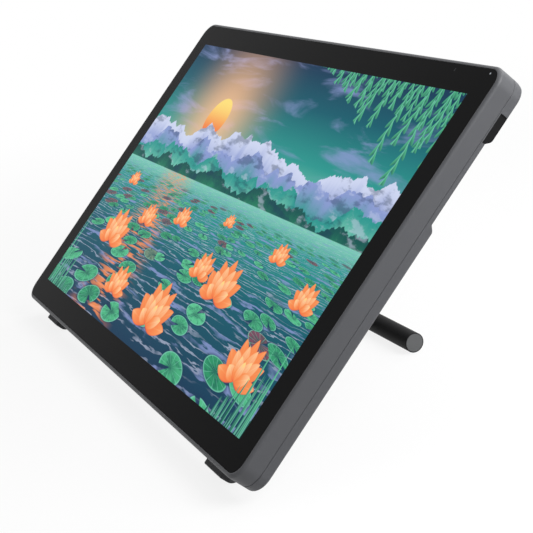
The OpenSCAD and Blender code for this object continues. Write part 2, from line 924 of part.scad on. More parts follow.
module rod_caps() {
    color("gray") at_rod() for (m = [0, 1]) mirror([m, 0, 0]) {
        rod_x(rod_len / 2 - cap_t, rod_len / 2, cap_r);
        rod_x(rod_len / 2 - cap_t - cap_plug_len, rod_len / 2 - cap_t + eps, core_bore_r - press_gap);
    }
}

front_frame();
cover_glass();
lcd_panel();
diffuser_sheet();
light_guide();
led_strip();
lcd_tray();
sensor_board();
chassis_plate();
main_board();
board_screws();
port_board();
usb_ports();
video_port();
power_jack();
board_ribbon();
button_board();
key_switches();
power_button();
brightness_up_button();
brightness_down_button();
status_light_pipe();
back_cover();
cover_screws();
mount_inserts();
rubber_feet();
upper_pads();
stand_plate();
stand_screws();
hinge_shaft();
hinge_washers();
hinge_nut();
clutch_housing();
clutch_spring();
release_lever();
stand_leg();
foot_rod();
rod_sleeves();
rod_caps();
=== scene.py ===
import json
import math

import bmesh
import bpy
from mathutils import Matrix, Vector
from mathutils.bvhtree import BVHTree


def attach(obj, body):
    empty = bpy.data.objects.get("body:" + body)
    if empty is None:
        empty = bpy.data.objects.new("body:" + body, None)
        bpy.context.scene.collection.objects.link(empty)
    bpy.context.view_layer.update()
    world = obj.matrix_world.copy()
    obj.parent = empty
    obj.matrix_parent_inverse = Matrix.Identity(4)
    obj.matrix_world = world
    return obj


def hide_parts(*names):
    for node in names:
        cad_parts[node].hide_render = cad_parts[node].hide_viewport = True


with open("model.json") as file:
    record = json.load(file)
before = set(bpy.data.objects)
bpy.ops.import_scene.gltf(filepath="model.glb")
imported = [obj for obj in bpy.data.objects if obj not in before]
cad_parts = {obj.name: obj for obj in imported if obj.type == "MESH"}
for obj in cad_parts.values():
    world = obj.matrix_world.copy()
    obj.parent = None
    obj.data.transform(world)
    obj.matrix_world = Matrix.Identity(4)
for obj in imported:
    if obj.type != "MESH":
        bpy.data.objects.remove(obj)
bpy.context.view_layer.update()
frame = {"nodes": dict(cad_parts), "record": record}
nodes = frame["nodes"]
record = frame["record"]
slotOf = {part["node"]: part["material_slot"] for part in record["subparts"]}
mm = 0.001


# Head axes: x to the right, y up along the screen, z out of the screen, from the middle of the glass
def spanOf(points):
    return [Vector(pick(p[i] for p in points) for i in range(3)) for pick in (min, max)]


def spanAlong(toLocal, node):
    return spanOf([toLocal @ v.co for v in nodes[node].data.vertices])


armMount = next(m for m in record["mounts"] if m["name"] == "arm_holes")
tilt = math.atan2(armMount["axis"][1], -armMount["axis"][2])
headTurn = Matrix.Rotation(tilt, 4, "X")
glassLow, glassHigh = spanAlong(headTurn.inverted(), "cover_glass")
glassMiddle = (glassLow + glassHigh) / 2
headOrigin = headTurn @ Vector((glassMiddle.x, glassMiddle.y, glassHigh.z))
headPlace = Matrix.Translation(headOrigin) @ headTurn
toHead = headPlace.inverted()


def headSpan(node):
    return spanAlong(toHead, node)


# Shader sums written as Python sums
class Wire:
    def __init__(self, paint, socket):
        self.paint = paint
        self.socket = socket

    def other(self, name):
        return Wire(self.paint, findSocket(self.socket.node.outputs, name))

    def calc(self, operation, *values):
        return self.paint.node("ShaderNodeMath", {"operation": operation}, dict(enumerate(values)))

    def __add__(self, value):
        return self.calc("ADD", self, value)

    def __sub__(self, value):
        return self.calc("SUBTRACT", self, value)

    def __mul__(self, value):
        return self.calc("MULTIPLY", self, value)

    def __truediv__(self, value):
        return self.calc("DIVIDE", self, value)

    def __pow__(self, value):
        return self.calc("POWER", self, value)

    def __radd__(self, value):
        return self.calc("ADD", value, self)

    def __rsub__(self, value):
        return self.calc("SUBTRACT", value, self)

    def __rmul__(self, value):
        return self.calc("MULTIPLY", value, self)

    def __rtruediv__(self, value):
        return self.calc("DIVIDE", value, self)

    def __lt__(self, value):
        return self.calc("LESS_THAN", self, value)

    def __gt__(self, value):
        return self.calc("GREATER_THAN", self, value)

    def __abs__(self):
        return self.calc("ABSOLUTE", self)

    def sine(self):
        return self.calc("SINE", self)

    def cosine(self):
        return self.calc("COSINE", self)

    def root(self):
        return self.calc("SQRT", self)

    def fraction(self):
        return self.calc("FRACT", self)

    def floor(self):
        return self.calc("FLOOR", self)

    def atLeast(self, value):
        return self.calc("MAXIMUM", self, value)

    def atMost(self, value):
        return self.calc("MINIMUM", self, value)


def findSocket(sockets, key):
    if isinstance(key, int):
        return sockets[key]
    return next(s for s in sockets if key in (s.identifier, s.name))


class Paint:
    def __init__(self, tree):
        self.tree = tree
        self.tree.nodes.clear()

    def node(self, kind, settings=None, sockets=None, output=0):
        made = self.tree.nodes.new(kind)
        for key, value in (settings or {}).items():
            if key == "stops":
                self.setStops(made.color_ramp, value)
            else:
                setattr(made, key, value)
        for key, value in (sockets or {}).items():
            socket = findSocket(made.inputs, key)
            if isinstance(value, Wire):
                self.tree.links.new(value.socket, socket)
            else:
                socket.default_value = value
        return Wire(self, findSocket(made.outputs, output)) if made.outputs else made

    def setStops(self, ramp, stops):
        while len(ramp.elements) < len(stops):
            ramp.elements.new(1)
        for element, (place, color) in zip(ramp.elements, stops):
            element.position = place
            element.color = color

    def objectPlace(self):
        return self.node("ShaderNodeTexCoord", {}, {}, "Object")

    def headPlaceOf(self):
        sockets = {"Vector": self.objectPlace(), "Location": headOrigin, "Rotation": (tilt, 0, 0)}
        return self.node("ShaderNodeMapping", {"vector_type": "TEXTURE"}, sockets)

    def parts(self, vector):
        x = self.node("ShaderNodeSeparateXYZ", {}, {"Vector": vector}, "X")
        return x, x.other("Y"), x.other("Z")

    def point(self, x, y, z=0.0):
        return self.node("ShaderNodeCombineXYZ", {}, {"X": x, "Y": y, "Z": z})

    def distance(self, x, y):
        return (x * x + y * y).root()

    def noise(self, vector, scale, detail=2.0, rough=0.5, bend=0.0):
        sockets = {"Vector": vector, "Scale": scale, "Detail": detail, "Roughness": rough, "Distortion": bend}
        return self.node("ShaderNodeTexNoise", {}, sockets)

    def line(self, value, detail=2.0, rough=0.5):
        sockets = {"W": value, "Scale": 1.0, "Detail": detail, "Roughness": rough}
        return self.node("ShaderNodeTexNoise", {"noise_dimensions": "1D"}, sockets)

    def chance(self, value):
        return self.node("ShaderNodeTexWhiteNoise", {"noise_dimensions": "1D"}, {"W": value})

    def cells(self, sockets, settings=None):
        return self.node("ShaderNodeTexVoronoi", {"voronoi_dimensions": "2D", **(settings or {})}, sockets)

    def fade(self, value, low, high):
        sockets = {"Value": value, "From Min": low, "From Max": high}
        return self.node("ShaderNodeMapRange", {"interpolation_type": "SMOOTHSTEP"}, sockets)

    def mix(self, factor, first, second):
        sockets = {"Factor_Float": factor, "A_Color": first, "B_Color": second}
        return self.node("ShaderNodeMix", {"data_type": "RGBA"}, sockets, "Result_Color")

    def ramp(self, value, stops):
        return self.node("ShaderNodeValToRGB", {"stops": stops}, {"Fac": value}, "Color")

    def bump(self, height, strength, distance):
        sockets = {"Height": height, "Strength": strength, "Distance": distance}
        return self.node("ShaderNodeBump", {}, sockets)

    def surface(self, sockets):
        shader = self.node("ShaderNodeBsdfPrincipled", {}, sockets)
        self.node("ShaderNodeOutputMaterial", {}, {"Surface": shader})


def tone(red, green, blue):
    # a colour as a picture shows it, 0 to 255, in the linear values that shaders take
    parts = [c / 255 for c in (red, green, blue)]
    return (*[c / 12.92 if c <= 0.04045 else ((c + 0.055) / 1.055) ** 2.4 for c in parts], 1.0)


def newFinish(name):
    material = bpy.data.materials.new(name)
    material.use_nodes = True
    return material, Paint(material.node_tree)


def newTree(name, treeKind, inputs, outputs):
    tree = bpy.data.node_groups.new(name, treeKind)
    for way, kinds in (("INPUT", inputs), ("OUTPUT", outputs)):
        for label, kind in kinds.items():
            tree.interface.new_socket(name=label, in_out=way, socket_type=kind)
    return tree, Paint(tree)


# Finishes
moulding = {"detail": 3.0, "coarse": 0.6, "driftScale": 14.0}
brushing = {"along": 40.0, "detail": 4.0, "coarse": 0.6, "lineDepth": 0.1 * mm}


def mouldedFinish(name, look):
    # moulded plastic, rubber, powder coat or film: fine grain and a slow drift of tone
    material, paint = newFinish(name)
    place = paint.objectPlace()
    grain = paint.noise(place, 1 / look["grain"], moulding["detail"], moulding["coarse"])
    drift = paint.noise(place, moulding["driftScale"], moulding["detail"])
    shade = (grain - 0.5) * look["speckle"] + (drift - 0.5) * look["drift"] + 0.5
    paint.surface({
        "Base Color": paint.mix(shade, look["dark"], look["light"]),
        "Roughness": look["rough"] + (grain - 0.5) * look["roughSpread"],
        "Specular IOR Level": look["gloss"],
        "Normal": paint.bump(grain, look["depth"], look["grain"]),
    })
    return material


def metalFinish(name, look):
    # brushed along x, with fine lines of tone and roughness
    material, paint = newFinish(name)
    x, y, z = paint.parts(paint.objectPlace())
    stretched = paint.point(x * brushing["along"], y * look["lines"], z * look["lines"])
    brush = paint.noise(stretched, 1.0, brushing["detail"], brushing["coarse"])
    paint.surface({
        "Base Color": paint.mix(brush, look["dark"], look["light"]),
        "Metallic": 1.0,
        "Roughness": look["rough"] + (brush - 0.5) * look["roughSpread"],
        "Normal": paint.bump(brush, look["depth"], brushing["lineDepth"]),
    })
    return material


def boardFinish(name):
    # solder mask over tracks and pads
    look = {"mask": tone(18, 92, 58), "track": tone(44, 128, 84), "pad": tone(206, 186, 120),
            "pitch": 4.0 * mm, "scatter": 0.55, "trackEdge": (0.09, 0.05), "padEdge": (0.16, 0.12),
            "rough": 0.42, "padPolish": 0.12, "depth": 0.25, "thick": 0.1 * mm}
    material, paint = newFinish(name)
    sockets = {"Vector": paint.headPlaceOf(), "Scale": 1 / look["pitch"], "Randomness": look["scatter"]}
    track = paint.fade(paint.cells(sockets, {"feature": "DISTANCE_TO_EDGE"}), *look["trackEdge"])
    pad = paint.fade(paint.cells(sockets), *look["padEdge"])
    masked = paint.mix(track, look["mask"], look["track"])
    paint.surface({
        "Base Color": paint.mix(pad, masked, look["pad"]),
        "Metallic": pad,
        "Roughness": look["rough"] - pad * look["padPolish"],
        "Normal": paint.bump(track + pad, look["depth"], look["thick"]),
    })
    return material


finishes = {
    "housing_grey": mouldedFinish("housingPlastic", {
        "dark": tone(60, 61, 64), "light": tone(74, 75, 79), "grain": 0.5 * mm,
        "speckle": 0.7, "drift": 0.3, "rough": 0.52, "roughSpread": 0.14, "gloss": 0.4, "depth": 0.06}),
    "key_plastic": mouldedFinish("keyPlastic", {
        "dark": tone(38, 38, 40), "light": tone(50, 50, 53), "grain": 0.4 * mm,
        "speckle": 0.6, "drift": 0.2, "rough": 0.42, "roughSpread": 0.12, "gloss": 0.4, "depth": 0.1}),
    # matt black plastic of the sockets, and also painted shade on the recess's end wall
    "connector_black": mouldedFinish("connectorPlasticAndShadeWall", {
        "dark": tone(12, 12, 13), "light": tone(20, 20, 21), "grain": 0.3 * mm,
        "speckle": 0.5, "drift": 0.2, "rough": 0.5, "roughSpread": 0.1, "gloss": 0.1, "depth": 0.08}),
    "cap_grey": mouldedFinish("capPlastic", {
        "dark": tone(74, 75, 76), "light": tone(88, 89, 90), "grain": 0.4 * mm,
        "speckle": 0.6, "drift": 0.2, "rough": 0.48, "roughSpread": 0.14, "gloss": 0.35, "depth": 0.12}),
    "foot_rubber": mouldedFinish("footRubber", {
        "dark": tone(58, 58, 60), "light": tone(72, 72, 74), "grain": 0.4 * mm,
        "speckle": 0.6, "drift": 0.3, "rough": 0.74, "roughSpread": 0.14, "gloss": 0.25, "depth": 0.2}),
    "rod_rubber": mouldedFinish("rodRubber", {
        "dark": tone(13, 13, 14), "light": tone(21, 21, 22), "grain": 0.5 * mm,
        "speckle": 0.5, "drift": 0.3, "rough": 0.66, "roughSpread": 0.14, "gloss": 0.15, "depth": 0.14}),
    "stand_paint": mouldedFinish("standPowderCoat", {
        "dark": tone(44, 44, 47), "light": tone(58, 58, 61), "grain": 0.7 * mm,
        "speckle": 0.7, "drift": 0.2, "rough": 0.5, "roughSpread": 0.2, "gloss": 0.45, "depth": 0.3}),
    "stand_alloy": mouldedFinish("legPowderCoat", {
        "dark": tone(50, 50, 53), "light": tone(64, 64, 68), "grain": 0.7 * mm,
        "speckle": 0.7, "drift": 0.2, "rough": 0.48, "roughSpread": 0.2, "gloss": 0.45, "depth": 0.3}),
    "optical_film": mouldedFinish("diffuserFilm", {
        "dark": tone(226, 227, 228), "light": tone(240, 241, 242), "grain": 0.3 * mm,
        "speckle": 0.4, "drift": 0.2, "rough": 0.6, "roughSpread": 0.1, "gloss": 0.4, "depth": 0.05}),
    "light_guide": mouldedFinish("guideAcrylic", {
        "dark": tone(206, 222, 228), "light": tone(228, 240, 244), "grain": 2.5 * mm,
        "speckle": 0.8, "drift": 0.1, "rough": 0.14, "roughSpread": 0.06, "gloss": 0.5, "depth": 0.05}),
    "led_strip": mouldedFinish("ledStripMask", {
        "dark": tone(224, 222, 196), "light": tone(244, 242, 222), "grain": 2.0 * mm,
        "speckle": 0.9, "drift": 0.1, "rough": 0.45, "roughSpread": 0.1, "gloss": 0.4, "depth": 0.1}),
    "ribbon": mouldedFinish("ribbonFilm", {
        "dark": tone(190, 122, 40), "light": tone(214, 150, 62), "grain": 1.5 * mm,
        "speckle": 0.8, "drift": 0.2, "rough": 0.3, "roughSpread": 0.1, "gloss": 0.5, "depth": 0.05}),
    "light_pipe": mouldedFinish("lightPipeAcrylic", {
        "dark": tone(228, 232, 236), "light": tone(244, 246, 248), "grain": 0.4 * mm,
        "speckle": 0.3, "drift": 0.1, "rough": 0.16, "roughSpread": 0.05, "gloss": 0.5, "depth": 0.03}),
    "sheet_metal": metalFinish("rolledSheet", {
        "dark": tone(176, 178, 182), "light": tone(206, 208, 212), "lines": 3000.0, "rough": 0.36,
        "roughSpread": 0.14, "depth": 0.08}),
    "connector_metal": metalFinish("platedShell", {
        "dark": tone(186, 188, 190), "light": tone(214, 216, 218), "lines": 4000.0, "rough": 0.26,
        "roughSpread": 0.1, "depth": 0.05}),
    "shaft_steel": metalFinish("groundSteel", {
        "dark": tone(164, 166, 170), "light": tone(204, 206, 210), "lines": 5000.0, "rough": 0.3,
        "roughSpread": 0.12, "depth": 0.08}),
    "insert_brass": metalFinish("turnedBrass", {
        "dark": tone(186, 150, 82), "light": tone(220, 188, 116), "lines": 5000.0, "rough": 0.3,
        "roughSpread": 0.12, "depth": 0.08}),
    "screw_steel": metalFinish("blackZinc", {
        "dark": tone(52, 52, 55), "light": tone(78, 78, 82), "lines": 5000.0, "rough": 0.36,
        "roughSpread": 0.12, "depth": 0.08}),
    "circuit_board": boardFinish("solderMask"),
}
print("finishes:", len(finishes))


# The picture on the screen: a lily pond under hills, in picture heights from the middle of the screen
pond = {
    "navy": tone(13, 52, 84), "deepTeal": tone(12, 92, 108), "teal": tone(40, 150, 142),
    "aqua": tone(122, 204, 180), "mint": tone(92, 200, 146), "leaf": tone(42, 146, 102),
    "darkLeaf": tone(12, 82, 80), "coral": tone(240, 112, 62), "orange": tone(248, 146, 84),
    "peach": tone(253, 196, 146), "yellow": tone(252, 222, 122), "lavender": tone(138, 154, 208),
    "pale": tone(206, 214, 240), "plum": tone(122, 76, 96),
    "top": 0.5, "horizon": 0.035, "sunAt": (-0.40, 0.25), "sunR": 0.078,
    "blossoms": [(0.33, -0.25, 0.13), (0.53, -0.08, 0.06), (-0.60, -0.27, 0.13), (-0.17, -0.11, 0.065),
                 (0.04, -0.42, 0.15), (0.70, -0.40, 0.13), (-0.32, -0.40, 0.10), (-0.72, -0.06, 0.05),
                 (0.14, -0.05, 0.04), (0.78, -0.16, 0.08), (-0.42, -0.16, 0.075), (0.16, -0.22, 0.085)],
}


def pondStops(bands):
    return [(place, pond[color]) for place, color in bands]


def skyPart(paint, picture, x, y):
    # the lowest layer, which covers what it is given: bands of colour, clouds, the sun and its glow
    look = {"bands": [(0.56, "aqua"), (0.70, "teal"), (0.86, "deepTeal"), (1.0, "navy")],
            "cloudScale": (2.4, 13), "cloudBend": 0.6, "cloudEdge": (0.50, 0.70), "cloudsFrom": (0.10, 0.26),
            "cloud": 0.75, "glowReach": 0.58, "glowFall": 2.2, "glow": 0.8, "sunBlend": 0.07,
            "sunEdge": 0.004}
    picture = paint.ramp(y + pond["top"], pondStops(look["bands"]))
    wide, tall = look["cloudScale"]
    place = paint.point(x * wide, y * tall)
    streaks = paint.noise(place, 1.0, detail=5.0, rough=0.55, bend=look["cloudBend"])
    cloud = paint.fade(streaks, *look["cloudEdge"]) * paint.fade(y, *look["cloudsFrom"]) * look["cloud"]
    picture = paint.mix(cloud, picture, pond["lavender"])
    sunX, sunY = pond["sunAt"]
    away = paint.distance(x - sunX, y - sunY)
    glow = paint.fade(away, look["glowReach"], 0.0) ** look["glowFall"] * look["glow"]
    picture = paint.mix(glow, picture, pond["peach"])
    upward = paint.fade(y, sunY - look["sunBlend"], sunY + look["sunBlend"])
    disc = paint.mix(upward, pond["coral"], pond["yellow"])
    return paint.mix(paint.fade(away, pond["sunR"], pond["sunR"] - look["sunEdge"]), picture, disc)


def ridgePart(paint, picture, x, y):
    # ranges of hills, the farthest first, with dark and light folds
    look = {"detail": 7.0, "jagged": 0.58, "footDepth": 0.11, "edge": 0.003, "foldScale": (9, 22),
            "foldLean": 6, "shadeEdge": (0.52, 0.64), "shade": 0.5, "lightEdge": (0.44, 0.34), "light": 0.35}
    ridges = [
        {"crest": 0.205, "rise": 0.15, "wave": 2.1, "seed": 4.7, "top": "pale", "foot": "lavender"},
        {"crest": 0.150, "rise": 0.13, "wave": 2.9, "seed": 19.2, "top": "lavender", "foot": "teal"},
        {"crest": 0.105, "rise": 0.11, "wave": 3.6, "seed": 31.5, "top": "teal", "foot": "aqua"},
        {"crest": 0.070, "rise": 0.08, "wave": 5.2, "seed": 52.3, "top": "darkLeaf", "foot": "leaf"},
    ]
    wide, tall = look["foldScale"]
    for ridge in ridges:
        shape = paint.line(x * ridge["wave"] + ridge["seed"], look["detail"], look["jagged"])
        below = (shape - 0.5) * 2 * ridge["rise"] + ridge["crest"] - y
        place = paint.point(x * wide + y * look["foldLean"], y * tall, ridge["seed"])
        folds = paint.noise(place, 1.0, detail=5.0, rough=0.6)
        color = paint.mix(paint.fade(below, 0.0, look["footDepth"]), pond[ridge["top"]], pond[ridge["foot"]])
        color = paint.mix(paint.fade(folds, *look["shadeEdge"]) * look["shade"], color, pond["navy"])
        color = paint.mix(paint.fade(folds, *look["lightEdge"]) * look["light"], color, pond["pale"])
        picture = paint.mix(paint.fade(below, 0.0, look["edge"]), picture, color)
    return picture


def waterPart(paint, picture, x, y):
    # water that lies flat to the horizon, with broad and fine ripples and the sun's path
    look = {"bands": [(0.0, "aqua"), (0.12, "teal"), (0.45, "deepTeal"), (1.0, "navy")], "bandScale": 1.8,
            "eyeHeight": 0.11, "stretch": 1.25, "wobbleScale": (1.6, 6), "patchScale": 2.2,
            "patchEdge": (0.44, 0.6), "glintScale": (3, 20), "glintEdge": (0.48, 0.58), "pathHalf": 0.17,
            "pathSpread": 0.16, "pathCore": 0.02, "path": 0.85, "shore": 0.003}
    ripples = [
        {"count": 30, "wobble": 12, "edge": (0.45, 0.9), "share": 0.75, "color": "lavender"},
        {"count": 71, "wobble": 21, "edge": (0.7, 0.97), "share": 0.45, "color": "pale"},
    ]
    down = (pond["horizon"] - y).atLeast(0.0)
    far = 1 / (down + look["eyeHeight"])

    def lying(scaleX, scaleY):
        return paint.point(x * far * scaleX, far * scaleY)

    flat = paint.point(x * far, far * look["stretch"])
    water = paint.ramp(down * look["bandScale"], pondStops(look["bands"]))
    wobble = paint.noise(lying(*look["wobbleScale"]), 1.0, detail=4.0, rough=0.6)
    patch = paint.fade(paint.noise(flat, look["patchScale"], detail=3.0), *look["patchEdge"])
    for ripple, cover in zip(ripples, (patch, 1 - patch)):
        crest = paint.fade((far * ripple["count"] + wobble * ripple["wobble"]).sine(), *ripple["edge"])
        water = paint.mix(crest * cover * ripple["share"], water, pond[ripple["color"]])
    glints = paint.fade(paint.noise(lying(*look["glintScale"]), 1.0), *look["glintEdge"])
    aside = abs(x - pond["sunAt"][0])
    path = paint.fade(aside, look["pathHalf"] + down * look["pathSpread"], look["pathCore"]) * glints
    water = paint.mix(path * look["path"], water, pond["orange"])
    water = padPart(paint, water, flat, down)
    return paint.mix(paint.fade(pond["horizon"] - y, 0.0, look["shore"]), picture, water)


def padPart(paint, picture, flat, down):
    # round leaves lying on the water, each with a notch, veins and a pale rim
    look = {"scale": 2.3, "scatter": 0.85, "radius": 0.12, "radiusSpread": 0.07, "bareShare": (0.22, 0.24),
            "fromShore": (0.03, 0.06), "shadowEdge": (0.035, -0.01), "shadow": 0.7, "notch": (0.965, 0.985),
            "notchFrom": (0.01, 0.03), "edge": 0.006, "plumShare": (0.80, 0.84), "mottleScale": 16.0,
            "mottleEdge": (0.46, 0.62), "mottle": 0.5, "heartReach": 0.7, "heart": 0.55, "veins": 6,
            "veinEdge": (0.22, 0.06), "veinFrom": 0.03, "vein": 0.55, "rimEdge": (0.02, 0.006), "rim": 0.7}
    near = paint.cells({"Vector": flat, "Scale": look["scale"], "Randomness": look["scatter"]})
    sockets = {0: flat, 1: near.other("Position")}
    offset = paint.node("ShaderNodeVectorMath", {"operation": "SUBTRACT"}, sockets)
    acrossX, acrossY = paint.parts(offset)[:2]
    away = paint.distance(acrossX, acrossY)
    first, second, third = paint.parts(near.other("Color"))
    radius = first * look["radiusSpread"] + look["radius"]
    grown = paint.fade(second, *look["bareShare"]) * paint.fade(down, *look["fromShore"])
    angle = acrossY.calc("ARCTAN2", acrossY, acrossX) + third * math.tau
    shadow = paint.fade(away - radius, *look["shadowEdge"]) * grown * look["shadow"]
    picture = paint.mix(shadow, picture, pond["navy"])
    notch = paint.fade(angle.cosine(), *look["notch"]) * paint.fade(away, *look["notchFrom"])
    pad = paint.fade(radius - away, 0.0, look["edge"]) * grown * (1 - notch)
    color = paint.mix(third, pond["leaf"], pond["mint"])
    color = paint.mix(paint.fade(first, *look["plumShare"]), color, pond["plum"])
    mottle = paint.fade(paint.noise(flat, look["mottleScale"], detail=3.0), *look["mottleEdge"])
    color = paint.mix(mottle * look["mottle"], color, pond["darkLeaf"])
    heart = paint.fade(away / radius, look["heartReach"], 0.0)
    color = paint.mix(heart * look["heart"], color, pond["darkLeaf"])
    wave = abs((angle * look["veins"]).sine())
    vein = paint.fade(wave, *look["veinEdge"]) * paint.fade(away, 0.0, look["veinFrom"])
    color = paint.mix(vein * look["vein"], color, pond["aqua"])
    rim = paint.fade(radius - away, *look["rimEdge"])
    color = paint.mix(rim * look["rim"], color, pond["aqua"])
    return paint.mix(pad, picture, color)


def blossomPart(paint, picture, x, y):
    # rows of petals in the axes of the nearest blossom, in its own size, the outer rows first
    look = {"taper": 0.8, "edge": 0.02, "rimDepth": 0.05, "rimShade": 0.22, "ribHalf": 0.022,
            "ribLight": 0.08,
            "bands": [(0.0, "plum"), (0.2, "coral"), (0.5, "orange"), (0.8, "peach"), (1.0, "yellow")]}
    rows = [
        {"reach": 0.98, "half": 0.20, "turns": (-58, -29, 0, 29, 58), "root": 0.10, "tip": 0.55},
        {"reach": 0.92, "half": 0.17, "turns": (-84, 84), "root": 0.10, "tip": 0.65},
        {"reach": 0.80, "half": 0.19, "turns": (-44, -15, 15, 44), "root": 0.28, "tip": 0.80},
        {"reach": 0.58, "half": 0.17, "turns": (-66, -26, 26, 66), "root": 0.22, "tip": 0.92},
        {"reach": 0.46, "half": 0.15, "turns": (0,), "root": 0.35, "tip": 1.0},
    ]
    best = nearX = nearY = None
    for atX, atY, size in pond["blossoms"]:
        localX = (x - atX) / size
        localY = (y - atY) / size
        away = localX * localX + localY * localY
        if best is None:
            best, nearX, nearY = away, localX, localY
        else:
            closer = away < best
            nearX = nearX + closer * (localX - nearX)
            nearY = nearY + closer * (localY - nearY)
            best = best.atMost(away)
    flower = shade = None
    for row in rows:
        for degrees in row["turns"]:
            sine, cosine = math.sin(math.radians(degrees)), math.cos(math.radians(degrees))
            along = (nearX * sine + nearY * cosine) / row["reach"]
            across = abs(nearX * cosine - nearY * sine)
            inside = ((along - along * along) * 4).atLeast(0.0) ** look["taper"] * row["half"] - across
            petal = paint.fade(inside, 0.0, look["edge"]) * (along > 0)
            own = along * (row["tip"] - row["root"]) + row["root"]
            own = own - paint.fade(inside, look["rimDepth"], 0.0) * look["rimShade"]
            own = own + paint.fade(across, look["ribHalf"], 0.0) * look["ribLight"]
            shade = own if shade is None else shade + petal * (own - shade)
            flower = petal if flower is None else flower.atLeast(petal)
    return paint.mix(flower, picture, paint.ramp(shade, pondStops(look["bands"])))


def reedPart(paint, picture, x, y):
    # blades rising from the bottom edge at both sides and leaning in, none in the middle
    look = {"rootAt": -0.52, "lean": 0.8, "tallFrom": (0.56, 0.92), "tall": (0.3, 0.7), "least": 0.02,
            "swayCount": 3, "sway": 0.12, "taper": 0.6, "half": 0.30, "edge": 0.06, "toneSpread": 0.5,
            "lightEdge": (-0.04, 0.12), "light": 0.6}
    rows = [
        {"pitch": 0.034, "seed": 2.0, "reach": 0.44},
        {"pitch": 0.027, "seed": 5.0, "reach": 0.34},
        {"pitch": 0.021, "seed": 9.0, "reach": 0.22},
    ]
    shortest, spread = look["tall"]
    for row in rows:
        rise = (y - look["rootAt"]) / row["reach"]
        lean = rise * rise * look["lean"]
        scaled = x / row["pitch"] + row["seed"] + lean * (x > 0) - lean * (x < 0)
        column = scaled.floor()
        chance = paint.chance(column)
        tall = paint.fade(abs(x), *look["tallFrom"]) * (chance * spread + shortest)
        sway = (rise * look["swayCount"] + chance * math.tau).sine() * look["sway"]
        across = scaled - column - 0.5 + sway
        half = (1 - rise / tall.atLeast(look["least"])).atLeast(0.0) ** look["taper"] * look["half"]
        blade = paint.fade(half - abs(across), 0.0, look["edge"])
        color = paint.mix(rise + (chance - 0.5) * look["toneSpread"], pond["darkLeaf"], pond["mint"])
        color = paint.mix(paint.fade(across, *look["lightEdge"]) * look["light"], color, pond["aqua"])
        picture = paint.mix(blade, picture, color)
    return picture


def strandPart(paint, picture, x, y):
    # leafy strands hanging from the top edge on the right, their leaves by turns on either side
    look = {"longFrom": (0.02, 0.75), "hang": (0.25, 0.75), "swayCount": 24, "sway": 0.12, "leafLong": 0.7,
            "leafShift": 5, "leafDroop": 1.8, "taper": 1.3, "leafHalf": 0.37, "stemHalf": 0.05, "edge": 0.05,
            "endEdge": 0.004, "ribEdge": (0.06, 0.02), "rib": 0.6}
    rows = [{"pitch": 0.062, "seed": 3.0, "reach": 0.30}, {"pitch": 0.047, "seed": 8.0, "reach": 0.22}]
    shortest, spread = look["hang"]
    below = pond["top"] - y
    for row in rows:
        scaled = x / row["pitch"] + row["seed"]
        column = scaled.floor()
        chance = paint.chance(column)
        hang = (chance * spread + shortest) * paint.fade(x, *look["longFrom"]) * row["reach"]
        sway = (below * look["swayCount"] + chance * math.tau).sine() * look["sway"]
        across = scaled - column - 0.5 + sway
        aside = abs(across)
        count = below / (row["pitch"] * look["leafLong"]) + chance * look["leafShift"]
        step = (count + (across > 0) * 0.5 - aside * look["leafDroop"]).fraction()
        leaf = ((step * math.pi).sine() ** look["taper"] * look["leafHalf"]).atLeast(look["stemHalf"])
        inside = paint.fade(leaf - aside, 0.0, look["edge"]) * paint.fade(hang - below, 0.0, look["endEdge"])
        color = paint.mix(step, pond["mint"], pond["darkLeaf"])
        color = paint.mix(paint.fade(aside, *look["ribEdge"]) * look["rib"], color, pond["aqua"])
        picture = paint.mix(inside, picture, color)
    return picture


def layerTree(draw):
    inputs = {"Picture": "NodeSocketColor", "X": "NodeSocketFloat", "Y": "NodeSocketFloat"}
    tree, paint = newTree(draw.__name__, "ShaderNodeTree", inputs, {"Picture": "NodeSocketColor"})
    given = paint.node("NodeGroupInput")
    paint.node("NodeGroupOutput", {}, {"Picture": draw(paint, given, given.other("X"), given.other("Y"))})
    return tree


pondLayers = [layerTree(d) for d in (skyPart, ridgePart, waterPart, strandPart, blossomPart, reedPart)]


def pondPicture(paint, x, y):
    picture = pond["navy"]
    for layer in pondLayers:
        picture = paint.node("ShaderNodeGroup", {"node_tree": layer}, {"Picture": picture, "X": x, "Y": y})
    return picture


screen = {"width": 476.6 * mm, "height": 268.1 * mm, "edge": 0.15 * mm, "unlit": (0, 0, 0, 1)}
glass = {"print": tone(15, 15, 16), "panelEdge": tone(16, 16, 18), "panel": tone(24, 24, 27),
         "etchScale": 1200.0, "etchDepth": 0.04, "etchGrain": 0.2 * mm, "hazeScale": 9.0, "rough": 0.30,
         "etchRough": 0.1, "hazeRough": 0.06, "gloss": 0.015, "frontFrom": (0.3 * mm, 0.1 * mm)}
lamp = {"radius": 0.8 * mm, "core": 0.7, "color": tone(172, 177, 184)}
keyMark = {"half": (0.4 * mm, 1.2 * mm), "fromTop": 4.6 * mm, "color": tone(70, 71, 74)}


